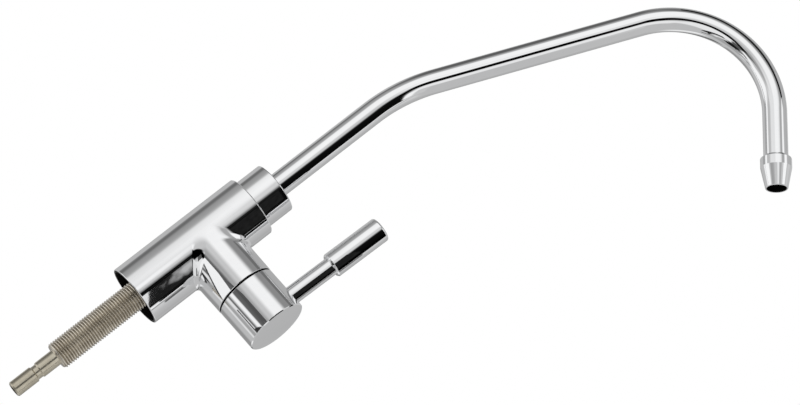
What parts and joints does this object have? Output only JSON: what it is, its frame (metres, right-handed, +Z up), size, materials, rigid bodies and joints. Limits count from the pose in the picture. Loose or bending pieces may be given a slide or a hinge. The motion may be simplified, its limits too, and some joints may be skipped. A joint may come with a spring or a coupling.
{
  "type": "drinking water tap",
  "caption": "Deck-mounted drinking water tap: upright barrel with a side valve branch and pin lever, swivel gooseneck spout, threaded shank and push-fit inlet stem.",
  "frame": {"origin": "centre of the body's lower rim, on the deck that the tap stands on", "axes": "+Z up the barrel's axis, +X forward, the way the valve branch and the spout face at rest"},
  "size_m": [0.1389, 0.025, 0.305],
  "materials": {
    "chrome_plate": "polished chrome plate on brass",
    "nickel_plate": "satin nickel plate on brass",
    "plain_brass": "turned brass",
    "seal_rubber": "black moulded rubber",
    "white_plastic": "natural moulded plastic",
    "disc_ceramic": "lapped white ceramic",
    "screw_steel": "plain stainless steel"
  },
  "bodies": {
    "base": {"tap_body": "chrome_plate", "threaded_shank": "nickel_plate", "shank_seal_ring": "seal_rubber", "spout_collar": "chrome_plate", "guide_bush": "white_plastic", "slip_washer": "white_plastic", "cartridge_housing": "plain_brass", "cartridge_gasket": "seal_rubber", "seat_seal": "seal_rubber", "fixed_disc": "disc_ceramic"},
    "spout": {"spout_tube": "chrome_plate", "spout_foot": "plain_brass", "spout_seal_rings": "seal_rubber", "outlet_tip": "chrome_plate"},
    "handle": {"valve_spindle": "plain_brass", "moving_disc": "disc_ceramic", "spindle_washer": "white_plastic", "spindle_seal_rings": "seal_rubber", "retaining_ring": "screw_steel", "handle_hub": "chrome_plate", "grub_screw": "screw_steel", "lever_rod": "chrome_plate", "lever_grip": "chrome_plate"}
  },
  "joints": [
    {"name": "spout_swivel", "type": "hinge", "parent": "base", "child": "spout", "pos_m": [0, 0, 0.06], "axis": [0, 0, 1], "continuous": true},
    {"name": "lever_turn", "type": "hinge", "parent": "base", "child": "handle", "pos_m": [0.03, 0, 0.033], "axis": [1, 0, 0], "range_deg": [0, 90]}
  ]
}
